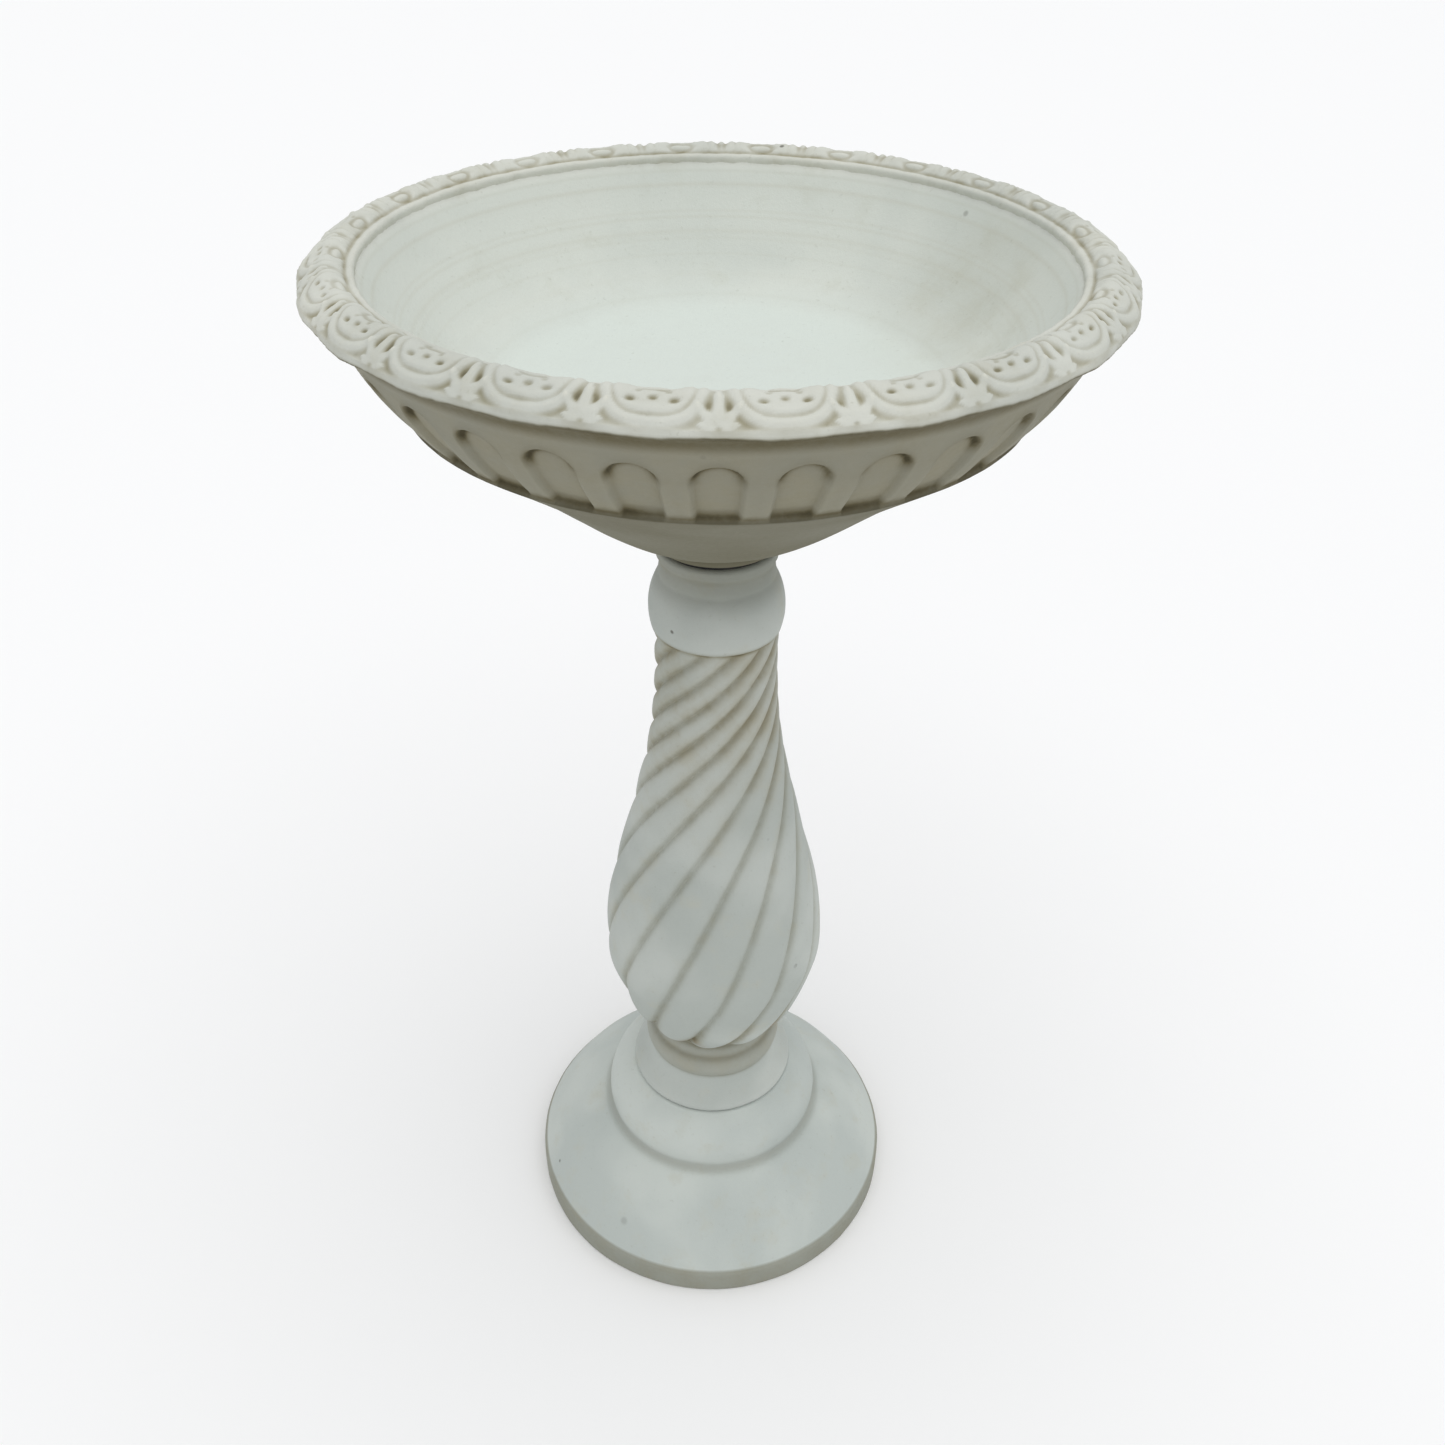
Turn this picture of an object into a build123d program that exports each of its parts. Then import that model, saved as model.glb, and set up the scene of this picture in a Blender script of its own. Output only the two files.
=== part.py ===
"""Cast-stone bird bath: an ornamented bowl on a turned pedestal and a round stepped base.

Three castings are stacked loose on dowels, so the bowl turns on its dowel and lifts off, and the
pedestal lifts off the base.  Steel hoops, bars and ties are cast inside the stone.
Millimetres, +Z up, origin on the ground at the centre of the base.
"""
import os
from math import atan2, degrees

from build123d import *

# ---- driving dimensions -------------------------------------------------------------------
base_radius = 144.5         # foot of the whole bird bath
base_edge_height = 20.0     # upright edge under the domed top
ring_radius = 86.0          # half-round step on the base
seat_height = 117.5         # top of the base, where the pedestal stands
seat_radius = 63.0
skirt_wall = 3.0            # lip round the pedestal's foot that hides the setting pad
skirt_gap = 1.2             # open joint left under the lip

shaft_foot_height = 178.0   # spiral shaft springs from here
bulge_radius = 81.5         # widest part of the spiral shaft
bulge_height = 264.0
shaft_top_height = 537.0
shaft_top_radius = 40.5
knop_radius = 43.9          # ball under the bowl
knop_height = 552.0
pedestal_top = 596.0
pedestal_top_radius = 38.5

pad_thickness = 4.0         # rubber setting pads between castings
bowl_foot_radius = 40.0
bowl_floor_radius = 128.0   # nearly flat floor
bowl_floor_height = 697.0
rim_inner_radius = 193.5
rim_inner_height = 774.0
rim_crest_radius = 205.0
rim_crest_height = 781.5
rim_outer_radius = 224.0
rim_lip_height = 765.0

panel_count = 32            # round-headed panels sunk in the bowl's side
panel_width = 25.0
panel_height = 40.0
panel_depth = 3.0
panel_shift = (1.2, -4.9)   # panel's middle, outward and up from the middle of the side

dowel_radius = 8.0          # locating dowels, one under the bowl and one in the base
dowel_length = 100.0
dowel_chamfer = 1.5
sleeve_wall = 2.0
sleeve_play = 0.5           # radial room between dowel and sleeve
sleeve_end_play = 3.0       # room above the dowel's tip

hoop_wire_radius = 3.0
bar_radius = 4.0
bar_count = 4
tie_wire_radius = 2.0
bowl_bar_count = 8

os.makedirs("parts", exist_ok=True)

# ---- heights and radii worked out from the driving dimensions -----------------------------
pedestal_foot = seat_height + pad_thickness
skirt_bottom = seat_height + skirt_gap
bowl_foot = pedestal_top + pad_thickness
sleeve_bore = dowel_radius + sleeve_play
sleeve_radius = sleeve_bore + sleeve_wall
dowel_reach = dowel_length / 2

base_dowel_bottom = pedestal_foot - dowel_reach
base_dowel_top = pedestal_foot + dowel_reach
bowl_dowel_bottom = bowl_foot - dowel_reach
bowl_dowel_top = bowl_foot + dowel_reach


def round_bar(radius, bottom, top):
    """An upright round bar on the centre line."""
    with Locations((0, 0, bottom)):
        Cylinder(radius, top - bottom, align=(Align.CENTER, Align.CENTER, Align.MIN))


def write(piece, label):
    """Name a finished piece and write it out."""
    piece.label = label
    export_step(piece, f"parts/{label}.step")


# ---- reinforcement and dowels, made first because the castings are poured round them -------
base_hoop_radius = 105.0
base_hoop_height = 28.0
with BuildPart() as base_hoop:
    with Locations((0, 0, base_hoop_height)):
        Torus(base_hoop_radius, hoop_wire_radius)

with BuildPart() as base_dowel:
    round_bar(dowel_radius, base_dowel_bottom, base_dowel_top)
    chamfer(base_dowel.edges().filter_by(GeomType.CIRCLE), dowel_chamfer)

with BuildPart() as bowl_dowel:
    round_bar(dowel_radius, bowl_dowel_bottom, bowl_dowel_top)
    chamfer(bowl_dowel.edges().filter_by(GeomType.CIRCLE), dowel_chamfer)


def dowel_sleeve(bottom, top):
    """A plastic cap that leaves a clean socket in the casting above a dowel."""
    round_bar(sleeve_radius, bottom, top + sleeve_wall)
    with Locations((0, 0, bottom)):
        Cylinder(sleeve_bore, top - bottom, align=(Align.CENTER, Align.CENTER, Align.MIN), mode=Mode.SUBTRACT)


with BuildPart() as pedestal_sleeve:
    dowel_sleeve(pedestal_foot, base_dowel_top + sleeve_end_play)

with BuildPart() as bowl_sleeve:
    dowel_sleeve(bowl_foot, bowl_dowel_top + sleeve_end_play)

bar_circle = 24.0
bar_bottom = pedestal_foot + 18.0
bar_top = pedestal_top - 14.0
with BuildPart() as pedestal_bars:
    with Locations((0, 0, bar_bottom)):
        with PolarLocations(bar_circle, bar_count):
            Cylinder(bar_radius, bar_top - bar_bottom, align=(Align.CENTER, Align.CENTER, Align.MIN))

# the ties stand just outside the bars and hold them in a cage
tie_radius = bar_circle + bar_radius + tie_wire_radius
tie_heights = [190.0, 275.0, 360.0, 445.0, 520.0]
with BuildPart() as pedestal_ties:
    for height in tie_heights:
        with Locations((0, 0, height)):
            Torus(tie_radius, tie_wire_radius)

rim_hoop_radius = 205.5
rim_hoop_height = 768.0
with BuildPart() as rim_hoop:
    with Locations((0, 0, rim_hoop_height)):
        Torus(rim_hoop_radius, hoop_wire_radius)

floor_hoop_radius = 62.0
floor_hoop_height = 642.0
with BuildPart() as floor_hoop:
    with Locations((0, 0, floor_hoop_height)):
        Torus(floor_hoop_radius, hoop_wire_radius)

# each bar climbs the middle of the bowl's wall, from just outside the floor hoop to below the rim
bowl_bar_start = (floor_hoop_radius + 8.0, floor_hoop_height)
bowl_bar_end = (192.0, 738.0)
bowl_bar_rise = bowl_bar_end[1] - bowl_bar_start[1]
bowl_bar_run = bowl_bar_end[0] - bowl_bar_start[0]
bowl_bar_length = (bowl_bar_rise**2 + bowl_bar_run**2) ** 0.5
bowl_bar_tilt = degrees(atan2(bowl_bar_run, bowl_bar_rise))
with BuildPart() as bowl_bars:
    for index in range(bowl_bar_count):
        foot = Plane.XY.rotated((0, 0, 360 / bowl_bar_count * index))
        bar_plane = foot * Location((bowl_bar_start[0], 0, bowl_bar_start[1]), (0, bowl_bar_tilt, 0))
        with BuildSketch(bar_plane):
            Circle(hoop_wire_radius)
        extrude(amount=bowl_bar_length)

# ---- base ----------------------------------------------------------------------------------
base_dome_start = (base_radius - 1.5, base_edge_height + 1.5)
base_dome_middle = (129.0, 42.5)
base_dome_end = (ring_radius + 3.0, 74.2)
ring_hollow = (ring_radius - 0.1, 76.6)     # small hollow where the step meets the dome
ring_foot = (ring_radius - 1.3, 80.0)
ring_middle = (ring_radius - 3.5, 98.0)
with BuildPart() as base:
    with BuildSketch(Plane.XZ):
        with BuildLine():
            Polyline((0, 0), (base_radius - 2, 0), (base_radius, 2), (base_radius, base_edge_height), base_dome_start)
            ThreePointArc(base_dome_start, base_dome_middle, base_dome_end)
            ThreePointArc(base_dome_end, ring_hollow, ring_foot)
            ThreePointArc(ring_foot, ring_middle, (seat_radius + 1, seat_height))
            Polyline((seat_radius + 1, seat_height), (0, seat_height), (0, 0))
        make_face()
    revolve(axis=Axis.Z)
    add(base_hoop.part, mode=Mode.SUBTRACT)
    add(base_dowel.part, mode=Mode.SUBTRACT)

# ---- setting pads --------------------------------------------------------------------------
with BuildPart() as foot_pad:
    with BuildSketch(Plane.XY.offset(seat_height)):
        Circle(seat_radius - 5)
        Circle(sleeve_radius + 4, mode=Mode.SUBTRACT)
    extrude(amount=pad_thickness)

with BuildPart() as seat_pad:
    with BuildSketch(Plane.XY.offset(pedestal_top)):
        Circle(pedestal_top_radius - 3)
        Circle(sleeve_radius + 2, mode=Mode.SUBTRACT)
    extrude(amount=pad_thickness)

# ---- pedestal ------------------------------------------------------------------------------
torus_foot = (50.0, 146.0)
torus_middle = (53.0, 155.0)
torus_top = (48.0, 165.0)
shaft_foot = (46.0, shaft_foot_height)
neck_radius = 37.5
neck_height = 578.0
with BuildPart() as pedestal:
    with BuildSketch(Plane.XZ):
        with BuildLine():
            Polyline(
                (0, pedestal_foot),
                (seat_radius - skirt_wall, pedestal_foot),
                (seat_radius - skirt_wall, skirt_bottom),
                (seat_radius, skirt_bottom),
                (seat_radius, pedestal_foot + 2),
            )
            Spline((seat_radius, pedestal_foot + 2), (54.0, 134.0), torus_foot)
            ThreePointArc(torus_foot, torus_middle, torus_top)
            Line(torus_top, shaft_foot)
            Spline(
                shaft_foot,
                (64.0, 197.0),
                (77.0, 235.0),
                (bulge_radius, bulge_height),
                (76.1, 313.0),
                (60.6, 377.0),
                (46.3, 442.0),
                (41.0, 495.0),
                (shaft_top_radius, shaft_top_height),
            )
            Line((shaft_top_radius, shaft_top_height), (knop_radius - 2, shaft_top_height + 1))
            ThreePointArc(
                (knop_radius - 2, shaft_top_height + 1),
                (knop_radius, knop_height),
                (neck_radius, neck_height - 2),
            )
            Polyline(
                (neck_radius, neck_height - 2),
                (neck_radius - 1, neck_height + 8),
                (pedestal_top_radius, neck_height + 12),
                (pedestal_top_radius, pedestal_top - 2),
                (pedestal_top_radius - 2, pedestal_top),
                (0, pedestal_top),
                (0, pedestal_foot),
            )
        make_face()
    revolve(axis=Axis.Z)
    with Locations((0, 0, pedestal_foot)):
        Cylinder(
            sleeve_radius,
            base_dowel_top + sleeve_end_play + sleeve_wall - pedestal_foot,
            align=(Align.CENTER, Align.CENTER, Align.MIN),
            mode=Mode.SUBTRACT,
        )
    add(bowl_dowel.part, mode=Mode.SUBTRACT)
    add(pedestal_bars.part, mode=Mode.SUBTRACT)
    add(pedestal_ties.part, mode=Mode.SUBTRACT)

# ---- bowl ----------------------------------------------------------------------------------
ledge = (178.0, 703.0)              # foot of the panelled side
side_foot = (180.0, 708.0)
side_top = (206.0, 749.0)
lip_under = (217.0, 761.0)
rim_inner = (rim_inner_radius, rim_inner_height)
floor_edge = (bowl_floor_radius, bowl_floor_height + 5)
with BuildPart() as bowl:
    with BuildSketch(Plane.XZ):
        with BuildLine():
            Polyline((0, bowl_foot), (bowl_foot_radius, bowl_foot), (bowl_foot_radius, bowl_foot + 5))
            Spline((bowl_foot_radius, bowl_foot + 5), (79.5, 627.0), (131.0, 669.0), ledge)
            Line(ledge, side_foot)
            ThreePointArc(side_foot, (194.5, 727.0), side_top)
            Spline(side_top, (211.0, 757.0), lip_under)
            Line(lip_under, (rim_outer_radius - 1, rim_lip_height - 2))
            ThreePointArc(
                (rim_outer_radius - 1, rim_lip_height - 2),
                (rim_outer_radius, rim_lip_height),
                (rim_outer_radius - 1, rim_lip_height + 3),
            )
            ThreePointArc(
                (rim_outer_radius - 1, rim_lip_height + 3),
                (rim_crest_radius + 8, rim_crest_height - 2.5),
                (rim_crest_radius, rim_crest_height),
            )
            ThreePointArc((rim_crest_radius, rim_crest_height), (198.0, 780.0), rim_inner)
            Spline(rim_inner, (178.0, 747.0), (154.0, 718.0), floor_edge)
            ThreePointArc(floor_edge, (90.0, bowl_floor_height + 1.2), (40.0, bowl_floor_height))
            Polyline((40.0, bowl_floor_height), (0, bowl_floor_height), (0, bowl_foot))
        make_face()
    revolve(axis=Axis.Z)
    # round-headed panels, square to the sloping side
    side_tilt = degrees(atan2(side_top[0] - side_foot[0], side_top[1] - side_foot[1]))
    panel_middle = (
        (side_foot[0] + side_top[0]) / 2 + panel_shift[0],
        (side_foot[1] + side_top[1]) / 2 + panel_shift[1],
    )
    for index in range(panel_count):
        around = Plane.XY.rotated((0, 0, 360 / panel_count * index + 90))
        panel_plane = around * Location((panel_middle[0], 0, panel_middle[1]), (0, 90 + side_tilt, 0))
        with BuildSketch(panel_plane):
            with Locations((panel_width / 4, 0)):
                Rectangle(panel_height - panel_width / 2, panel_width)
            with Locations((-panel_height / 2 + panel_width / 2, 0)):
                Circle(panel_width / 2)
        extrude(amount=-panel_depth * 2, both=False, mode=Mode.SUBTRACT)
    with Locations((0, 0, bowl_foot)):
        Cylinder(
            sleeve_radius,
            bowl_dowel_top + sleeve_end_play + sleeve_wall - bowl_foot,
            align=(Align.CENTER, Align.CENTER, Align.MIN),
            mode=Mode.SUBTRACT,
        )
    add(rim_hoop.part, mode=Mode.SUBTRACT)
    add(floor_hoop.part, mode=Mode.SUBTRACT)
    add(bowl_bars.part, mode=Mode.SUBTRACT)

# ---- write every piece ---------------------------------------------------------------------
write(base.part, "base")
write(base_hoop.part, "base_hoop")
write(base_dowel.part, "base_dowel")
write(foot_pad.part, "foot_pad")
write(pedestal.part, "pedestal")
write(pedestal_bars.part, "pedestal_bars")
write(pedestal_ties.part, "pedestal_ties")
write(pedestal_sleeve.part, "pedestal_sleeve")
write(bowl_dowel.part, "bowl_dowel")
write(seat_pad.part, "seat_pad")
write(bowl.part, "bowl")
write(bowl_sleeve.part, "bowl_sleeve")
write(rim_hoop.part, "rim_hoop")
write(floor_hoop.part, "floor_hoop")
write(bowl_bars.part, "bowl_bars")
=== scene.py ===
"""The looks of a cast-stone bird bath: ornamented bowl, spiral-fluted pedestal and stepped base.

Lengths are millimetres until a point becomes a mesh vertex, in metres.  Every casting is a turned
outline (radius, height) with its ornament added as relief, made one repeat at a time and set round
the axis by one Geometry Nodes tree.
"""
from math import cos, pi, radians, sin

import bpy
import numpy as np
from mathutils import Matrix, Vector


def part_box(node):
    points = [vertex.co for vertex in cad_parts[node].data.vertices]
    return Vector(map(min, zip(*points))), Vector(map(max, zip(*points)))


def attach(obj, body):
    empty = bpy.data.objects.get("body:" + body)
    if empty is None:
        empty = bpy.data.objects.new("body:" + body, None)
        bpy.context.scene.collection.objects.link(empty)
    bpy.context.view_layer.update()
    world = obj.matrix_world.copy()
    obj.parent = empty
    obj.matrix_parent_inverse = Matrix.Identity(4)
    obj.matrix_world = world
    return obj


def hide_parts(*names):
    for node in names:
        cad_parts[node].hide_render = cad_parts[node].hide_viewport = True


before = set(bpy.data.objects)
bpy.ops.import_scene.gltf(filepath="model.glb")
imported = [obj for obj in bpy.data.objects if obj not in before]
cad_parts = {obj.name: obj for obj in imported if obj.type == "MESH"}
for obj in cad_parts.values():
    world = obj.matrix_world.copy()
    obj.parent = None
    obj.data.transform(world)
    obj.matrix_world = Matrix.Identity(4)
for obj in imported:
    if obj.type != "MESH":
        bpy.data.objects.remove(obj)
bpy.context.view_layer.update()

MM = 0.001

# ---- sizes that the frame gives ------------------------------------------------------------
base_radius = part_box("base")[1].x / MM
seat_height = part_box("base")[1].z / MM
skirt_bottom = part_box("pedestal")[0].z / MM
pad_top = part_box("foot_pad")[1].z / MM
pedestal_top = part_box("pedestal")[1].z / MM
bowl_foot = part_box("bowl")[0].z / MM
rim_crest_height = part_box("bowl")[1].z / MM
rim_outer_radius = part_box("bowl")[1].x / MM
sleeve_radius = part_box("bowl_sleeve")[1].x / MM
bowl_socket_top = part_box("bowl_sleeve")[1].z / MM
pedestal_socket_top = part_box("pedestal_sleeve")[1].z / MM

# ---- sizes of the ornament -----------------------------------------------------------------
lobe_count = 24             # egg-shaped lobes round the rim, with a palmette between each two
panel_count = 32            # round-headed panels under the rim
rib_count = 12              # spiral ribs on the shaft
half_rib = 180 / rib_count  # degrees
bead_height = 1.2           # small roll round the bowl's edge, with a quirk beside it
quirk_depth = 0.9
lobe_root = 5.0             # a lobe grows from here, this far from the bowl's edge
lobe_outer = (21.5, 25.5)   # half width and height of its outer roll
lobe_inner = (16.5, 19.5)   # and of its inner roll
lobe_squareness = 2.7       # 2 would be an oval
# pits in a lobe: depth, how far off the middle, how far out, half width and height, softness
lobe_pits = [
    (1.4, 9.6, 20.2, 2.7, 1.5, 1.2),
    (1.0, 6.4, 15.4, 2.0, 1.2, 1.0),
    (1.4, 0.0, 18.6, 2.3, 1.5, 1.2),
]
palmette_inset = 0.8        # its root stands this far inside the lip
# leaves of a palmette: lean to each side in degrees, length, half width and height
palmette_leaves = [(0, 20, 3.0, 1.9), (37, 16, 2.6, 1.6), (72, 9, 2.0, 1.6)]
spiral_foot = 178.0         # the spiral starts here
spiral_top = 537.0          # and ends under the knop
spiral_neck_radius = 42.0   # where the twist rate below was taken
spiral_neck_twist = 1.35    # degrees of turn for each millimetre of height
spiral_girth_power = 2.4    # a thicker shaft turns more slowly
spiral_phase = -89.0        # a groove faces this way ...
spiral_phase_height = 340.0  # ... at this height
rib_height = 2.5            # crest to groove at the girth
rib_neck_loss = 0.9         # less than that up the neck
rib_foot_gain = 2.3         # more than that at the foot
groove_depth = 1.4          # a sharper line along each groove
groove_width = 2.3
stain_centre = (150.0, 55.0, 730.0)   # brown stain on the bowl's wall
stain_reach = 95.0
tide_spacing = 9.0          # between tide marks down the dish's wall
# casting pits that show: place, radius and how dark
pits_of_bowl = [((150.0, 113.0, 763.0), 2.6, 0.5)]
pits_of_pedestal = [((-27.5, -34.2, 551.0), 1.8, 1.0)]
pits_of_base = [((-69.0, -110.0, 41.0), 4.2, 0.3), ((-127.0, -49.0, 33.0), 1.8, 0.8)]


# ---- outlines: points (radius, height), counter-clockwise, so the stone is on the left --------
def run(start, end, step):
    """Evenly spaced points of a straight stretch."""
    count = max(1, round(np.hypot(end[0] - start[0], end[1] - start[1]) / step))
    t = np.linspace(0, 1, count + 1)[:, None]
    return np.array(start) * (1 - t) + np.array(end) * t


def arc(start, middle, end, step):
    """Evenly spaced points of the circular arc through three points."""
    a, b, c = (complex(*p) for p in (start, middle, end))
    w = (c - a) / (b - a)
    centre = (b - a) * (w - abs(w) ** 2) / (2j * w.imag) + a
    radius = abs(a - centre)
    first = np.angle(a - centre)
    sweep = np.angle((c - centre) / (a - centre))
    half = np.angle((b - centre) / (a - centre))
    if sweep * half < 0:
        sweep -= np.sign(sweep) * 2 * pi
    count = max(2, round(radius * abs(sweep) / step))
    angle = first + sweep * np.linspace(0, 1, count + 1)
    return np.stack([centre.real + radius * np.cos(angle), centre.imag + radius * np.sin(angle)], 1)


def curve(points, step):
    """Evenly spaced points of a smooth curve through the given ones."""
    p = np.array(points, float)
    ghost = np.vstack([2 * p[0] - p[1], p, 2 * p[-1] - p[-2]])
    dense = [p[:1]]
    for k in range(1, len(ghost) - 2):
        p0, p1, p2, p3 = ghost[k - 1 : k + 3]
        t = np.linspace(0, 1, 41)[1:, None]
        bend = (2 * p0 - 5 * p1 + 4 * p2 - p3) * t**2 + (3 * p1 - p0 - 3 * p2 + p3) * t**3
        dense.append(0.5 * (2 * p1 + (p2 - p0) * t + bend))
    dense = np.vstack(dense)
    along = np.r_[0, np.cumsum(np.hypot(*np.diff(dense, axis=0).T))]
    even = np.linspace(0, along[-1], max(2, round(along[-1] / step)) + 1)
    return np.stack([np.interp(even, along, dense[:, 0]), np.interp(even, along, dense[:, 1])], 1)


def outline(*stretches):
    """Joins (name, points) stretches.  Gives the points, each one's stretch and its length along it."""
    points, names, along = [], [], []
    for name, stretch in stretches:
        length = np.r_[0, np.cumsum(np.hypot(*np.diff(stretch, axis=0).T))]
        first = 1 if points else 0
        points.append(stretch[first:])
        names += [name] * (len(stretch) - first)
        along.append(length[first:])
    return np.vstack(points), np.array(names), np.concatenate(along)


def outward(points):
    """Unit normals of an outline, pointing out of the stone."""
    tangent = np.gradient(points, axis=0)
    tangent /= np.maximum(np.hypot(tangent[:, 0], tangent[:, 1]), 1e-9)[:, None]
    return np.stack([tangent[:, 1], -tangent[:, 0]], 1)


def on(names, *wanted):
    """1 for the rows on any of these stretches and 0 for the others, as a column."""
    return np.isin(names, wanted)[:, None].astype(float)


# ---- relief, in millimetres above the turned surface ---------------------------------------
def smooth(x, low, high):
    """0 at low, 1 at high and a smooth step between.  high may be the smaller number."""
    t = np.clip((x - low) / (high - low), 0, 1)
    return t * t * (3 - 2 * t)


def bell(x, width):
    """1 at zero, falling off smoothly over about this width."""
    return np.exp(-((x / width) ** 2))


def oval_distance(x, y, half_width, half_height, power=2.0):
    """Roughly how far outside an oval round the origin a point is.  A higher power squares it."""
    u, v = np.abs(x) / half_width, np.abs(y) / half_height
    q = (u**power + v**power) ** (1 / power) + 1e-6
    slope = np.hypot(u ** (power - 1) / half_width, v ** (power - 1) / half_height) / q ** (power - 1)
    return (q - 1) / (slope + 1e-6)


def leaf(x, y, lean, length, half_width, height):
    """A blunt leaf, hollowed along its middle, that grows from the origin along +y, leaning by degrees."""
    u = -x * sin(radians(lean)) + y * cos(radians(lean))
    v = x * cos(radians(lean)) + y * sin(radians(lean))
    t = np.clip(u / length, 0, 1)
    width = half_width * np.sin(pi * t**0.8) ** 0.45 + 1e-3
    crown = np.clip(1 - (v / width) ** 2, 0, 1) ** 0.7 * smooth(u, 0, 2) * (u < length)
    return height * crown * (1 - 0.3 * bell(v, half_width / 4))


def blurred(h, reach_rows, reach_columns):
    """h averaged over a few rows and, round the ring, a few columns."""
    out = h
    for _ in range(2):
        out = sum(np.roll(out[:, :-1], k, 1) for k in range(-reach_columns, reach_columns + 1))
        out = out / (2 * reach_columns + 1)
        out = np.hstack([out, out[:, :1]])
        padded = np.pad(out, ((reach_rows, reach_rows), (0, 0)), mode="edge")
        out = sum(padded[k : k + len(h)] for k in range(2 * reach_rows + 1)) / (2 * reach_rows + 1)
    return out


def dimple(x, y, half_width, half_height, low, high):
    """1 inside an oval round the origin and 0 outside it, with a soft edge."""
    return smooth(-oval_distance(x, y, half_width, half_height), low, high)


def rim_relief(x, y):
    """One lobe with half a palmette on each side.  y runs from the bead out to the lip."""
    x, y = np.broadcast_arrays(x, y)
    h = bead_height * bell(y - 1.6, 1.5) - quirk_depth * bell(y - 4.6, 1.1)
    outer = oval_distance(x, y - lobe_root, *lobe_outer, lobe_squareness)
    inner = oval_distance(x, y - lobe_root, *lobe_inner, lobe_squareness)
    past_bead = smooth(y, 3.5, 11)
    h += past_bead * (1.15 * bell(outer, 1.9) + 0.9 * bell(inner, 1.7))      # two rolls
    h += past_bead * 0.5 * smooth(-outer, -0.8, 1.5)
    h -= past_bead * 0.55 * bell(outer - 4.0, 1.6)                          # sunk ground round the lobe
    h -= past_bead * 0.5 * bell(outer + 3.0, 1.1)                           # quirk between the rolls
    h -= 1.2 * dimple(x, y - 10, 10.5, 5.2, -0.8, 1.8)                      # pocket with a bean in it
    h += 1.3 * dimple(x - 0.6, y - 9.6, 6.2, 2.2, -0.9, 1.4)
    for place, across, up, half_width, half_height, soft in lobe_pits:
        for side in (-1, 1) if across else (1,):
            h -= place * dimple(x - side * across, y - up, half_width, half_height, -0.6, soft)
    for side in (-1, 1):
        h += 0.5 * bell(oval_distance(x - side * 10.8, y - 12.0, 2.2, 5.0), 1.3)
        fan_x = x - side * pi * rim_middle_radius / lobe_count
        fan_y = rim_band_length - palmette_inset - y
        fan = 0
        for lean, length, half_width, height in palmette_leaves:
            for way in (-1, 1) if lean else (1,):
                fan = np.maximum(fan, leaf(fan_x, fan_y, way * lean, length, half_width, height))
        h += fan - 0.6 * bell(fan_x, 9) * smooth(y, 14, 22)
    return h


def off_panel(x, y, half_width):
    """Millimetres outside the outline of a round-headed panel; y runs up from the ledge."""
    head = panel_bottom + panel_height - half_width
    above = np.hypot(x, np.maximum(y - head, 0)) - half_width
    return np.maximum(above, panel_bottom - y)


def panel_relief(x, y, half_width):
    """One sunk panel with a faint raised edge."""
    outside = off_panel(x, y, half_width)
    return 0.45 * bell(outside - 1.5, 1.3) - panel_depth * smooth(-outside, -0.7, 2.4)


def rib_relief(share, height, beside):
    """Convex ribs.  share is 0 on a crest and 1 in a groove, beside how many mm off the groove it is."""
    foot = smooth(height, spiral_foot + 34, spiral_foot + 4)
    head = smooth(height, spiral_top - 60, spiral_top - 4)
    deep = rib_height - rib_neck_loss * smooth(height, 330, 450) + rib_foot_gain * foot
    held = smooth(height, spiral_foot, spiral_foot + 7) * smooth(height, spiral_top, spiral_top - 3)
    groove = (groove_depth - 0.4 * head) * bell(beside, groove_width)
    return -held * (deep * share ** (2.3 - 0.3 * foot) + groove)


# ---- one repeat of a casting as a mesh -----------------------------------------------------
def sector_mesh(name, line, angles, relief, surface, turn=None):
    """A mesh of one repeat.

    line is what outline() gives, angles the columns in degrees, relief(points, names, along, angles)
    the height of each point above the turned surface, and surface(points, names, along, h) the
    attributes that the finish reads, where they aren't 0.  turn is how far each row is turned
    round the axis, in degrees.
    """
    points, names, along = line
    normal = outward(points)
    h = relief(points, names, along, angles)
    turned = np.zeros(len(points)) if turn is None else turn
    theta = np.radians(angles[None, :] + turned[:, None])
    radius = np.maximum(points[:, :1] + h * normal[:, :1], 0)
    radius = np.where(points[:, :1] < 1e-6, 0, radius)
    height = points[:, 1:] + h * normal[:, 1:]
    co = np.stack([radius * np.cos(theta), radius * np.sin(theta), height + 0 * theta], -1) * MM
    rows, columns = h.shape
    index = np.arange(rows * columns).reshape(rows, columns)
    corner = [index[:-1, :-1], index[:-1, 1:], index[1:, 1:], index[1:, :-1]]
    faces = np.stack([c.ravel() for c in corner], 1)
    mesh = bpy.data.meshes.new(name)
    mesh.from_pydata(co.reshape(-1, 3).tolist(), [], faces.tolist())
    found = surface(points, names, along, h)
    for key in stone_places + ("rough_cast",):
        attribute = mesh.attributes.new(key, "FLOAT", "POINT")
        flat = np.ascontiguousarray(np.broadcast_to(found.get(key, 0), h.shape), np.float32).ravel()
        attribute.data.foreach_set("value", flat)
    return mesh


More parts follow.
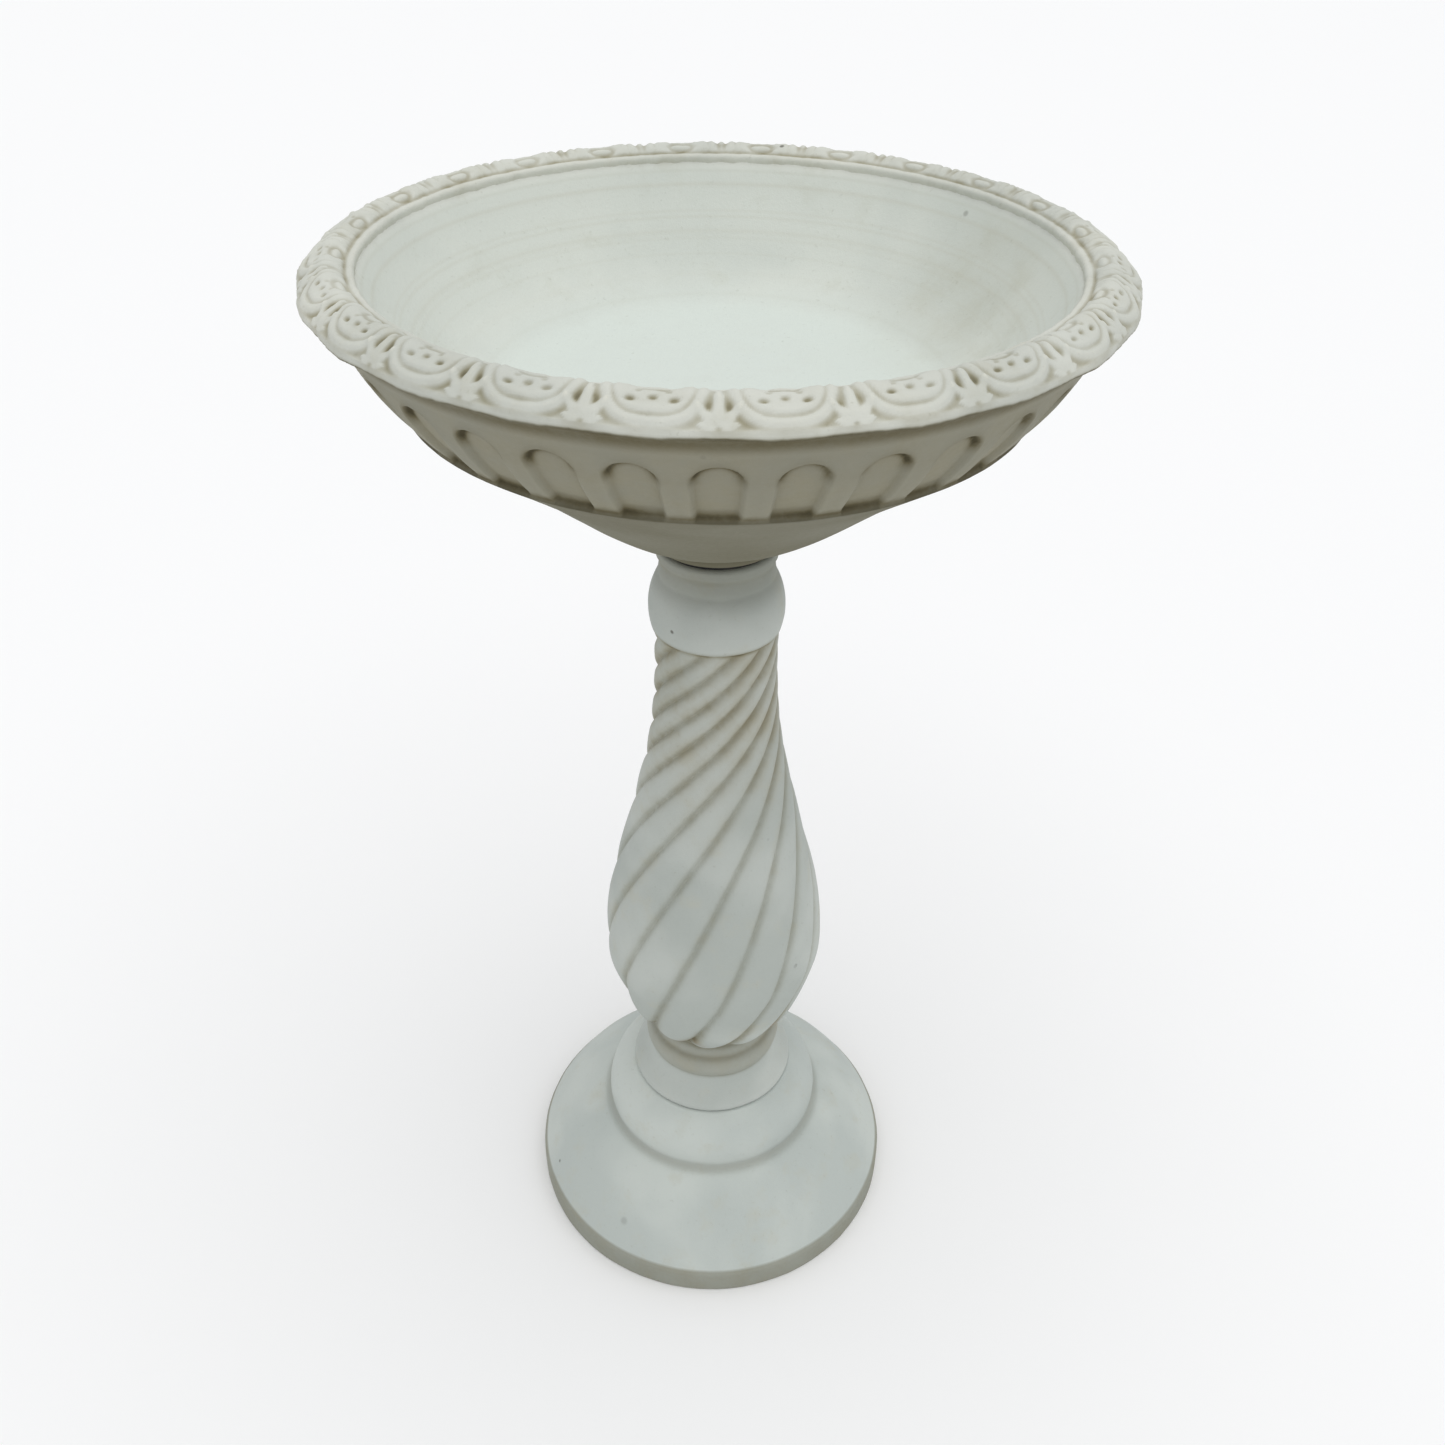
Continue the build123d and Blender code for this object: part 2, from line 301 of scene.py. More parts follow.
def add(tree, kind, settings=None, links=None):
    """Adds a node, sets its properties and sockets, and links its inputs."""
    node = tree.nodes.new(kind)
    for key, value in (settings or {}).items():
        if isinstance(key, int):
            node.inputs[key].default_value = value
        elif hasattr(node, key):
            setattr(node, key, value)
        else:
            node.inputs[key].default_value = value
    for key, source in (links or {}).items():
        if isinstance(source, bpy.types.Node):
            source = source.outputs[0]
        tree.links.new(source, node.inputs[key])
    return node


def ring_tree():
    """Sets a repeat round the axis, joins the copies and gives the stone its cast unevenness."""
    tree = bpy.data.node_groups.new("ring_of_castings", "GeometryNodeTree")
    sockets = tree.interface
    sockets.new_socket("Repeat", in_out="INPUT", socket_type="NodeSocketGeometry")
    wanted = {
        "Count": ("NodeSocketInt", 12),
        "Join distance": ("NodeSocketFloat", 0.00002),
        "Unevenness": ("NodeSocketFloat", 0.0005),
        "Uneven every": ("NodeSocketFloat", 0.035),
        "Grain": ("NodeSocketFloat", 0.0002),
        "Grain every": ("NodeSocketFloat", 0.007),
        "Seed": ("NodeSocketFloat", 0.0),
    }
    for label, (kind, value) in wanted.items():
        sockets.new_socket(label, in_out="INPUT", socket_type=kind).default_value = value
    sockets.new_socket("Finish", in_out="INPUT", socket_type="NodeSocketMaterial")
    sockets.new_socket("Casting", in_out="OUTPUT", socket_type="NodeSocketGeometry")

    given = add(tree, "NodeGroupInput").outputs
    places = add(tree, "GeometryNodePoints", links={"Count": given["Count"]})
    index = add(tree, "GeometryNodeInputIndex")
    pitch = add(tree, "ShaderNodeMath", {"operation": "DIVIDE", 0: 2 * pi}, {1: given["Count"]})
    angle = add(tree, "ShaderNodeMath", {"operation": "MULTIPLY"}, {0: index, 1: pitch})
    about_z = add(tree, "ShaderNodeCombineXYZ", links={"Z": angle})
    rotation = add(tree, "FunctionNodeEulerToRotation", links={0: about_z})
    copies = add(
        tree,
        "GeometryNodeInstanceOnPoints",
        links={"Points": places, "Instance": given["Repeat"], "Rotation": rotation},
    )
    real = add(tree, "GeometryNodeRealizeInstances", links={0: copies})
    seams = {"Geometry": real, "Distance": given["Join distance"]}
    joined = add(tree, "GeometryNodeMergeByDistance", links=seams)
    place = add(tree, "GeometryNodeInputPosition")
    shifted = add(tree, "ShaderNodeVectorMath", {"operation": "ADD"}, {0: place, 1: given["Seed"]})
    rise = None
    for amount, every in (("Unevenness", "Uneven every"), ("Grain", "Grain every")):
        scale = add(tree, "ShaderNodeMath", {"operation": "DIVIDE", 0: 1.0}, {1: given[every]})
        noise = add(tree, "ShaderNodeTexNoise", {"Detail": 2.0}, {"Vector": shifted, "Scale": scale})
        centred = add(tree, "ShaderNodeMath", {"operation": "SUBTRACT", 1: 0.5}, {0: noise})
        part = add(tree, "ShaderNodeMath", {"operation": "MULTIPLY"}, {0: centred, 1: given[amount]})
        rise = part if rise is None else add(tree, "ShaderNodeMath", {"operation": "ADD"}, {0: rise, 1: part})
    free = add(tree, "GeometryNodeInputNamedAttribute", {"data_type": "FLOAT", "Name": "rough_cast"})
    rise = add(tree, "ShaderNodeMath", {"operation": "MULTIPLY"}, {0: rise, 1: free})
    normal = add(tree, "GeometryNodeInputNormal")
    offset = add(tree, "ShaderNodeVectorMath", {"operation": "SCALE"}, {0: normal, "Scale": rise})
    uneven = add(tree, "GeometryNodeSetPosition", links={"Geometry": joined, "Offset": offset})
    soft = add(tree, "GeometryNodeSetShadeSmooth", links={0: uneven})
    finished = add(tree, "GeometryNodeSetMaterial", links={"Geometry": soft, "Material": given["Finish"]})
    add(tree, "NodeGroupOutput", links={"Casting": finished})
    return tree


def casting(name, mesh, tree, finish, body, nodes, **inputs):
    """Turns a repeat into a whole casting, as a plain mesh that rides on its body."""
    repeat = bpy.data.objects.new(name + "_repeat", mesh)
    bpy.context.scene.collection.objects.link(repeat)
    modifier = repeat.modifiers.new("ring", "NODES")
    modifier.node_group = tree
    for item in tree.interface.items_tree:
        if item.in_out == "INPUT" and item.name in inputs:
            modifier[item.identifier] = inputs[item.name]
        if item.in_out == "INPUT" and item.name == "Finish":
            modifier[item.identifier] = finish
    ready = bpy.context.evaluated_depsgraph_get()
    whole = bpy.data.meshes.new_from_object(repeat.evaluated_get(ready))
    whole.name = name
    repeat.modifiers.clear()
    bpy.data.objects.remove(repeat)
    piece = bpy.data.objects.new(name, whole)
    bpy.context.scene.collection.objects.link(piece)
    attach(piece, body)
    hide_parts(*nodes)
    return piece


def wash_and_wear(h, reach_rows, reach_columns, depth):
    """How sunk and how proud each point is beside its neighbours, for the wash and the wear."""
    step = (blurred(h, reach_rows, reach_columns) - h) / depth
    return np.clip(step, 0, 1), np.clip(-step, 0, 1)


# ---- finishes ------------------------------------------------------------------------------
def linear(code):
    """An sRGB hex colour as linear red, green, blue and alpha."""
    parts = [int(code[k : k + 2], 16) / 255 for k in (1, 3, 5)]
    return [p / 12.92 if p <= 0.04045 else ((p + 0.055) / 1.055) ** 2.4 for p in parts] + [1]


def new_material(name):
    """An empty node material and its tree."""
    material = bpy.data.materials.new(name)
    material.use_nodes = True
    material.node_tree.nodes.clear()
    return material, material.node_tree


# Noise patterns of the cast stone: distance between features in mm, detail, roughness, distortion.
# Sand grains of about 0.5 mm would be too fine to show, so the grain is drawn at 0.9 mm.
stone_patterns = {
    "broad": (110, 3, 0.5, 0.3),
    "middle": (24, 4, 0.6, 0.0),
    "fine": (3.0, 3, 0.6, 0.0),
    "grain": (0.9, 2, 0.6, 0.0),
}
# Point attributes of the castings that say where a layer of the finish lies.
stone_places = ("lime", "dish", "glaze", "warm", "wash", "rust", "wear")
# The antiquing wash was wiped off unevenly, and the painted shade laid in the same layers is as patchy: its
# pattern, ends and amounts.
patchy_wash_and_shade = ("middle", (0.32, 0.62), (0.65, 1.05))
# The layers of colour, each laid over the ones before it:
# name, places, pattern that breaks it up, ends of that pattern, amount at each end,
# answer (interpolation, start, end, most) to the amount, colour, way of laying it
stone_layers = [
    ("sand", (), "middle", (0.52, 0.75), (0, 0.35), None, "#bdbcab", "MIX"),
    ("limewash", ("lime",), "middle", (0.2, 0.55), (0.8, 1.0), None, "#d5dcd5", "MIX"),
    # tea-brown tide marks, and one broad stain where leaves have lain in the water
    ("tide", ("dish",), "tide", (0.5, 0.7), (0, 0.35), None, "#bcb8a6", "MIX"),
    ("stain", ("dish", "stain"), "middle", (0.3, 0.65), (0.098, 0.28), None, "#ada890", "MIX"),
    # olive painted shade over the undersides and shaded parts, and warm dirt beside the grooves
    ("glaze", ("glaze",), "broad", (0.25, 0.6), (0.9, 1.0), None, "#6d6a57", "MIX"),
    ("dirt", ("warm",), "middle", (0.3, 0.65), (0.45, 1.0), None, "#9d957a", "MIX"),
    # antiquing: a thin brown wash in every hollow and a darker one in the deepest, with painted shade under
    # the lip, round the arch heads, below the ledge and in the pedestal's creases laid in the same layers
    ("thin_wash", ("wash",), *patchy_wash_and_shade, ("LINEAR", 0.0, 0.55, 1.0), "#c3bca8", "MULTIPLY"),
    ("dark_wash", ("wash",), *patchy_wash_and_shade, ("SMOOTHSTEP", 0.4, 0.95, 1.0), "#a5a18e", "MULTIPLY"),
    ("rust", ("rust",), "middle", (0.4, 0.6), (0, 0.85), None, "#8a6a4a", "MIX"),
    # proud edges rubbed nearly white, then dark sand grains
    ("rubbed", ("wear",), "fine", (0.3, 0.65), (0.4, 1.0), ("SMOOTHSTEP", 0.08, 0.75, 0.6), "#e2e1d3", "MIX"),
    ("dark_sand", (), "fine", (0.62, 0.8), (0, 0.22), None, "#8b8978", "MIX"),
]
pinhole_colour = "#57534a"
pinhole_spacing = 55.0      # mm
stone_roughness = (0.78, 0.92)
stone_relief = {"fine": 0.5, "grain": 0.35, "middle": 0.6, "hole": -1.2}    # shares in the bump


def cast_stone(name, pale, grey, seed, pits):
    """Cast stone, limewashed and rubbed back.

    Fine sand in cement gives a matt, faintly grainy face.  The thin grey-white wash lies unevenly
    between its pale and grey tones, a brown antiquing wash stays in every hollow, olive painted shade
    lies over the undersides and darker painted shade in the creases under the lip, arches and steps,
    rust-brown dirt gathers where water stands, and proud edges are rubbed nearly white.
    """
    material, tree = new_material(name)
    place = add(tree, "ShaderNodeTexCoord").outputs["Object"]
    shift = {"Location": (seed, 2 * seed, 3 * seed)}
    own = add(tree, "ShaderNodeMapping", shift, {"Vector": place})
    patterns = {}
    for label, (every_mm, detail, roughness, distortion) in stone_patterns.items():
        looks = {"Scale": 1000 / every_mm, "Detail": detail, "Roughness": roughness, "Distortion": distortion}
        patterns[label] = add(tree, "ShaderNodeTexNoise", looks, {"Vector": own})
    # tide marks are level rings, so their noise reads only the height
    height = add(tree, "ShaderNodeSeparateXYZ", links={0: place}).outputs["Z"]
    level = add(tree, "ShaderNodeCombineXYZ", links={"Z": height})
    looks = {"Scale": 1000 / tide_spacing, "Detail": 2, "Roughness": 0.5, "Distortion": 0.0}
    patterns["tide"] = add(tree, "ShaderNodeTexNoise", looks, {"Vector": level})

    places = {}
    for label in stone_places:
        places[label] = add(tree, "ShaderNodeAttribute", {"attribute_name": label}).outputs["Fac"]
    to_stain = {"operation": "DISTANCE", 1: tuple(c * MM for c in stain_centre)}
    away = add(tree, "ShaderNodeVectorMath", to_stain, {0: place}).outputs["Value"]
    fade = {"interpolation_type": "SMOOTHSTEP", "From Min": stain_reach * MM, "From Max": 0.0}
    places["stain"] = add(tree, "ShaderNodeMapRange", fade, {"Value": away})

    limewashed = ("limewashed", (), "broad", (0.38, 0.62), (0, 1), None, pale, "MIX")
    colour = None
    shares = {}
    for label, where, pattern, ends, amounts, answer, shade, way in [limewashed] + stone_layers:
        span = {"From Min": ends[0], "From Max": ends[1], "To Min": amounts[0], "To Max": amounts[1]}
        span["interpolation_type"] = "SMOOTHSTEP"
        share = add(tree, "ShaderNodeMapRange", span, {"Value": patterns[pattern]})
        for at in where:
            share = add(tree, "ShaderNodeMath", {"operation": "MULTIPLY"}, {0: share, 1: places[at]})
        if answer:
            span = {"interpolation_type": answer[0], "From Min": answer[1], "From Max": answer[2]}
            span["To Max"] = answer[3]
            share = add(tree, "ShaderNodeMapRange", span, {"Value": share})
        shares[label] = share
        settings = {"data_type": "RGBA", "blend_type": way, 7: linear(shade)}
        links = {0: share}
        if colour is None:
            settings[6] = linear(grey)
        else:
            links[6] = colour
        colour = add(tree, "ShaderNodeMix", settings, links).outputs[2]

    # blowholes: a few dark pinholes left by air in the mix, where neither limewash nor painted shade covers
    # them
    cells = {"Scale": 1000 / pinhole_spacing, "Randomness": 1.0}
    cell = add(tree, "ShaderNodeTexVoronoi", cells, {"Vector": own}).outputs["Distance"]
    take_off = {"operation": "SUBTRACT", 0: 1.0}
    bare = add(tree, "ShaderNodeMath", take_off, {1: places["lime"]})
    take_off["use_clamp"] = True
    hole = add(tree, "ShaderNodeMath", take_off, {0: bare, 1: shares["glaze"]})
    for source, low, high in ((cell, 0.042, 0.026), (patterns["broad"], 0.46, 0.54)):
        span = {"interpolation_type": "SMOOTHSTEP", "From Min": low, "From Max": high}
        near = add(tree, "ShaderNodeMapRange", span, {"Value": source})
        hole = add(tree, "ShaderNodeMath", {"operation": "MULTIPLY"}, {0: hole, 1: near})
    for centre, reach, dark in pits:
        to_pit = {"operation": "DISTANCE", 1: tuple(c * MM for c in centre)}
        gap = add(tree, "ShaderNodeVectorMath", to_pit, {0: place}).outputs["Value"]
        span = {"interpolation_type": "SMOOTHSTEP", "From Min": reach * MM, "From Max": 0.3 * reach * MM}
        span["To Max"] = dark
        pit = add(tree, "ShaderNodeMapRange", span, {"Value": gap})
        hole = add(tree, "ShaderNodeMath", {"operation": "MAXIMUM"}, {0: hole, 1: pit})
    share = add(tree, "ShaderNodeMath", {"operation": "MULTIPLY", 1: 0.75}, {0: hole})
    settings = {"data_type": "RGBA", "blend_type": "MIX", 7: linear(pinhole_colour)}
    colour = add(tree, "ShaderNodeMix", settings, {0: share, 6: colour}).outputs[2]

    patterns["hole"] = hole
    relief = None
    for label, share in stone_relief.items():
        settings = {"operation": "MULTIPLY_ADD", 1: share, 2: 0.0}
        links = {0: patterns[label]}
        if relief is not None:
            links[2] = relief
        relief = add(tree, "ShaderNodeMath", settings, links)
    bump = add(tree, "ShaderNodeBump", {"Strength": 0.4, "Distance": 0.8 * MM}, {"Height": relief})
    span = {"interpolation_type": "SMOOTHSTEP", "From Min": 0.3, "From Max": 0.7}
    span.update({"To Min": stone_roughness[0], "To Max": stone_roughness[1]})
    rough = add(tree, "ShaderNodeMapRange", span, {"Value": patterns["fine"]})
    shader = add(
        tree,
        "ShaderNodeBsdfPrincipled",
        {"IOR": 1.5, "Specular IOR Level": 0.3},
        {"Base Color": colour, "Roughness": rough, "Normal": bump},
    )
    add(tree, "ShaderNodeOutputMaterial", links={"Surface": shader})
    return material


# ---- camera, light and floor ---------------------------------------------------------------
camera_place = (0.0, -0.7353, 1.0017)
camera_pitch, camera_yaw, camera_roll = 36.57, 0.37, 0.81      # degrees
camera_sensor = 36.0        # mm
camera_lens = 33.48         # mm
floor_reach = 30.0          # metres
sky_strength = 0.65
sun_strength = 1.3
sun_width = 75.0            # degrees across, for soft shadows
sun_tilt = (10.0, 6.0)      # degrees off straight down, about X and about Y


def build_stage():
    """A pale floor, a broad soft light overhead and a camera that looks down at the bowl."""
    scene = bpy.context.scene
    scene.view_settings.view_transform = "Standard"
    pitch, yaw, roll = radians(camera_pitch), radians(camera_yaw), radians(camera_roll)
    ahead = Vector((sin(yaw) * cos(pitch), cos(yaw) * cos(pitch), -sin(pitch)))
    level = Vector((cos(yaw), -sin(yaw), 0))
    over = level.cross(ahead)
    right = level * cos(roll) + over * sin(roll)
    up = over * cos(roll) - level * sin(roll)
    lens = bpy.data.cameras.new("camera")
    lens.sensor_width = camera_sensor
    lens.lens = camera_lens
    camera = bpy.data.objects.new("camera", lens)
    turn = Matrix((right, up, -ahead)).transposed()
    camera.matrix_world = Matrix.Translation(camera_place) @ turn.to_4x4()
    scene.collection.objects.link(camera)
    scene.camera = camera

    floor_mesh = bpy.data.meshes.new("floor")
    corners = [(-1, -1, 0), (1, -1, 0), (1, 1, 0), (-1, 1, 0)]
    floor_mesh.from_pydata([Vector(c) * floor_reach for c in corners], [], [(0, 1, 2, 3)])
    floor = bpy.data.objects.new("floor", floor_mesh)
    scene.collection.objects.link(floor)
    # matt paper: an even near-white with no gloss
    paper, tree = new_material("matt_paper_floor")
    shader = add(tree, "ShaderNodeBsdfPrincipled", {"Base Color": linear("#f8f8f7"), "Roughness": 0.9})
    add(tree, "ShaderNodeOutputMaterial", links={"Surface": shader})
    floor_mesh.materials.append(paper)

    world = bpy.data.worlds.new("sky")
    world.use_nodes = True
    sky = world.node_tree.nodes["Background"]
    sky.inputs["Color"].default_value = linear("#fbfcff")
    sky.inputs["Strength"].default_value = sky_strength
    scene.world = world
    light = bpy.data.lights.new("overhead", "SUN")
    light.angle = radians(sun_width)
    light.energy = sun_strength
    holder = bpy.data.objects.new("overhead", light)
    holder.rotation_euler = (radians(sun_tilt[0]), radians(sun_tilt[1]), 0)
    scene.collection.objects.link(holder)


build_stage()

# ---- the castings --------------------------------------------------------------------------
stone_of_bowl = cast_stone("cast_stone_bowl", "#d4d6cd", "#c9ccc4", 0.31, pits_of_bowl)
stone_of_pedestal = cast_stone("cast_stone_pedestal", "#c0c5bf", "#b2b8b2", 0.83, pits_of_pedestal)
stone_of_base = cast_stone("cast_stone_base", "#c8cec8", "#bbc2bd", 1.57, pits_of_base)
rings = ring_tree()

# rim: a closed band that sits in the bowl, from the wall over the crest and under the lip
rim_inner = (193.5, 774.0)
rim_crest = (205.0, rim_crest_height - 2.0)
rim_shoulder = (213.0, rim_crest_height - 4.8)
rim_outer = (rim_outer_radius - 0.9, 769.8)
rim_lip = (rim_outer_radius - 0.6, 767.0)
rim_under = (rim_outer_radius - 2.0, 764.6)
lip_root = (216.5, 762.6)
lip_joint_radius = 207.0    # outside this the joint of rim and bowl gets painted shade, as the underside does
rim_line = outline(
    ("hidden", run((193.0, 769.5), (206.0, 767.0), 4)),
    ("hidden", run((206.0, 767.0), lip_root, 4)),
    ("under", curve([lip_root, rim_under, rim_lip, rim_outer], 1.1)),
    ("band", curve([rim_outer, rim_shoulder, rim_crest, rim_inner], 0.8)),
    ("inside", run(rim_inner, (193.0, 769.5), 1.5)),
)
rim_band_length = rim_line[2][rim_line[1] == "band"].max()
rim_middle_radius = 209.0
half_lobe = 180 / lobe_count


def rim_heights(points, names, along, angles):
    x = np.radians(angles)[None, :] * rim_middle_radius
    from_bead = np.where(names == "under", rim_band_length, 0)
    from_bead = np.where(names == "band", rim_band_length - along, from_bead)[:, None]
    h = rim_relief(x, from_bead) * on(names, "band")
    h = h * smooth(from_bead, rim_band_length, rim_band_length - 1.6)
    # the lip swells under each lobe
    edge = smooth(points[:, :1], lip_root[0] + 1, rim_outer_radius - 2) * (1 - on(names, "hidden"))
    return 0.4 * h + 0.6 * blurred(h, 1, 1) + edge * (1.1 * bell(x, 14) - 0.8)


def rim_surface(points, names, along, h):
    wash, wear = wash_and_wear(h, 4, 4, 1.3)
    # painted shade under the lip: the rim's underside gets dark wash and painted shade, and its joint with
    # the bowl gets painted shade
    beneath = on(names, "under") * smooth(points[:, 1:], rim_lip[1] + 0.2, rim_under[1] + 0.4)
    joint = on(names, "hidden") * (points[:, :1] > lip_joint_radius)
    return {
        "wash": np.clip(0.85 * wash * (1 - beneath) + 0.5 * beneath, 0, 1),
        "wear": 0.6 * wear * (1 - beneath),
        "warm": 0.12 * (1 - on(names, "hidden")),
        "glaze": np.maximum(beneath, joint),
        "rough_cast": 1 - on(names, "hidden"),
    }


rim_columns = np.linspace(0, 2 * half_lobe, 61)
rim_mesh = sector_mesh(
    "bowl_rim",
    rim_line,
    rim_columns,
    lambda points, names, along, angles: rim_heights(points, names, along, angles - half_lobe),
    rim_surface,
)
casting(
    "bowl_rim", rim_mesh, rings, stone_of_bowl, "bowl", ["bowl"],
    Count=lobe_count, Unevenness=0.0009, Grain=0.0013,
)

# bowl: foot, cone, panelled side and the dish above
side_foot = (180.0, 708.0)
side_top = (206.0, 749.0)
ledge = (178.0, 703.0)
foot_edge = (40.0, bowl_foot + 5)
floor_edge = (128.0, 702.0)
panel_bottom = -6.5         # they run down over the ledge to the cone's edge
panel_height = 50.0
panel_depth = 3.0
panel_share = 0.64          # of the pitch between panels
socket = sleeve_radius + 0.05
bowl_line = outline(
    ("socket", run((0, bowl_socket_top), (socket, bowl_socket_top), 6)),
    ("socket", run((socket, bowl_socket_top), (socket, bowl_foot), 12)),
    ("foot", run((socket, bowl_foot), (40.0, bowl_foot), 8)),
    ("foot", run((40.0, bowl_foot), foot_edge, 2.5)),
    ("cone", curve([foot_edge, (79.5, 627.0), (131.0, 669.0), ledge], 4.5)),
    ("ledge", run(ledge, side_foot, 1.3)),
    ("side", arc(side_foot, (194.5, 727.0), side_top, 0.9)),
    ("band", curve([side_top, (211.2, 757.5), (216.8, 762.8)], 2.0)),
    ("hidden", run((216.8, 762.8), (205.0, 769.0), 6)),
    ("hidden", run((205.0, 769.0), (193.3, 771.5), 6)),
    ("wall", curve([(193.3, 771.5), (178.0, 747.0), (154.0, 718.0), floor_edge], 5)),
    ("floor", arc(floor_edge, (90.0, 698.2), (40.0, 697.0), 8)),
    ("floor", run((40.0, 697.0), (0.0, 697.0), 10)),
)


def panel_place(points, names, along, angles):
    """Where each point is on its panel, in mm: across, up from the ledge, and half the panel's width."""
    x = np.radians(angles)[None, :] * points[:, :1]
    y = np.where(names == "ledge", along - along[names == "ledge"].max(), along)[:, None]
    half_width = np.radians(360 / panel_count * panel_share / 2) * points[:, :1]
    return x, y, half_width


def bowl_heights(points, names, along, angles):
    h = panel_relief(*panel_place(points, names, along, angles)) * on(names, "side", "ledge")
    groove = 0.9 * bell(along - 1.5, 1.5)[:, None] * on(names, "ledge")
    return np.where(groove > 0.05, np.minimum(h, -groove), h)


def bowl_surface(points, names, along, h):
    wash, wear = wash_and_wear(h, 3, 1, 2.4)
    r, z = points[:, :1], points[:, 1:]
    side = on(names, "side", "ledge", "band")
    # painted shade: the cone, the foot, the panelled side and the joint out under the lip are darkened all
    # over
    under = on(names, "cone", "foot") + on(names, "hidden") * (r > lip_joint_radius)
    sunk = on(names, "side", "ledge") * smooth(-h, 0.6, 2.4)
    dish = on(names, "wall", "floor")
    # painted shade in bands under the lip, round the arch heads and below the ledge, laid in the wash
    lip_shadow = on(names, "band") * smooth(z, 750, 759)
    outside = off_panel(*panel_place(points, names, along, panel_angles))
    arch_shade = on(names, "side") * bell(outside + 1.6, 2.4)
    arch_shade = arch_shade * smooth(along[:, None], panel_height - 26, panel_height - 14)
    ledge_shadow = bell(z - (ledge[1] + 2), 2.6) * on(names, "ledge", "cone", "side")
    wash = 0.4 * wash + 0.8 * arch_shade + 0.5 * ledge_shadow + 0.45 * lip_shadow + 0.05 * sunk
    return {
        "wash": np.clip(wash, 0, 1),
        "wear": 0.4 * wear * side,
        "warm": 0.25 * side + 0.1 * sunk,
        "glaze": np.clip(0.8 * side + 0.2 * lip_shadow + under, 0, 1),
        "lime": dish * (0.4 + 0.6 * smooth(r, 150, 112)),
        "dish": dish,
        "rough_cast": 1 - on(names, "socket", "foot", "hidden"),
    }


def panel_columns():
    """Columns of one panel's repeat, closest together at its sides."""
    half = 180 / panel_count
    side_at = panel_share * half
    middle = np.linspace(0, side_at - 0.9, 6)[:-1]
    right = np.r_[middle, np.linspace(side_at - 0.9, side_at + 0.5, 5), half]
    return np.r_[-right[:0:-1], right]


panel_angles = panel_columns()
panel_turn = 90.0           # one panel faces the front
bowl_mesh = sector_mesh(
    "bowl",
    bowl_line,
    panel_angles,
    bowl_heights,
    bowl_surface,
    turn=np.full(len(bowl_line[0]), panel_turn),
)
casting("bowl_body", bowl_mesh, rings, stone_of_bowl, "bowl", ["bowl"], Count=panel_count, Unevenness=0.0009)

# pedestal: flared foot, torus, spiral shaft, knop and top fillet
torus_foot = (50.0, 146.0)
torus_top = (48.0, 165.0)
shaft_foot = (46.0, spiral_foot)
shaft_top = (40.5, spiral_top)
knop_foot = (41.9, spiral_top + 1)
neck = (37.5, 576.0)
pedestal_line = outline(
    ("socket", run((0, pedestal_socket_top), (socket, pedestal_socket_top), 6)),
    ("socket", run((socket, pedestal_socket_top), (socket, pad_top), 12)),
    ("seat", run((socket, pad_top), (60.0, pad_top), 8)),
    ("seat", run((60.0, pad_top), (60.0, skirt_bottom), 1.0)),
    ("seat", run((60.0, skirt_bottom), (62.2, skirt_bottom), 1.1)),
    ("foot", run((62.2, skirt_bottom), (63.0, skirt_bottom + 1.0), 0.7)),
    ("foot", curve([(63.0, skirt_bottom + 1.0), (62.8, 123.5), (54.0, 134.0), torus_foot], 1.8)),
    ("torus", arc(torus_foot, (53.0, 155.0), torus_top, 1.2)),
    ("cavetto", run(torus_top, shaft_foot, 1.8)),
    (
        "shaft",
        curve(
            [
                shaft_foot,
                (64.0, 197.0),
                (77.0, 235.0),
                (81.5, 264.0),
                (76.1, 313.0),
                (60.6, 377.0),
                (46.3, 442.0),
                (41.0, 495.0),
                shaft_top,
            ],
            2.7,
        ),
    ),
    ("knop_foot", run(shaft_top, knop_foot, 0.7)),
    ("knop", arc(knop_foot, (43.9, 552.0), neck, 1.6)),
    ("neck", curve([neck, (36.6, 585.0), (38.3, 589.5)], 1.5)),
    ("fillet", run((38.3, 589.5), (38.3, pedestal_top - 1.5), 1.5)),
    ("fillet", run((38.3, pedestal_top - 1.5), (36.8, pedestal_top), 1.0)),
    ("top", run((36.8, pedestal_top), (0.0, pedestal_top), 9)),
)


neck_shade = (562.0, 586.0)     # the neck darkens upwards between these heights
# darker lines round the pedestal where its mouldings meet, painted shade in the creases and dirt at the foot
# of the spiral: height, strength and width
pedestal_lines = [
    (torus_foot[1], 0.4, 1.4),
    (torus_top[1], 0.25, 2.5),
    (spiral_foot - 1, 0.6, 3.5),
    (spiral_top, 0.6, 1.8),
    (587.0, 0.2, 2.5),
]


def shaft_turn(points):
    """How far each row of the pedestal is turned: the spiral, held still above and below it."""
    radius, height = points[:, 0], points[:, 1]
    rate = spiral_neck_twist * (spiral_neck_radius / np.maximum(radius, 30)) ** spiral_girth_power
    inside = (height >= spiral_foot) & (height <= spiral_top) & (radius > 30)
    climb = np.diff(height, prepend=height[0]) * inside
    turned = np.cumsum(rate * climb)
    level = np.interp(spiral_phase_height, height[inside], turned[inside])
    return turned - level + spiral_phase + half_rib


def off_groove(points, angles):
    """Millimetres from the nearest groove, square to it."""
    radius, height = points[:, :1], points[:, 1:]
    slope = np.gradient(radians(1) * shaft_turn(points))[:, None] * radius
    rise = np.hypot(np.gradient(radius[:, 0]), np.gradient(height[:, 0]))[:, None]
    lean = np.hypot(slope / np.maximum(rise, 1e-6), 1)
    return (half_rib - np.abs(angles)[None, :]) * radians(1) * radius / lean


def shaft_heights(points, names, along, angles):
    share = np.abs(angles)[None, :] / half_rib
    return rib_relief(share, points[:, 1:], off_groove(points, angles)) * on(names, "shaft")


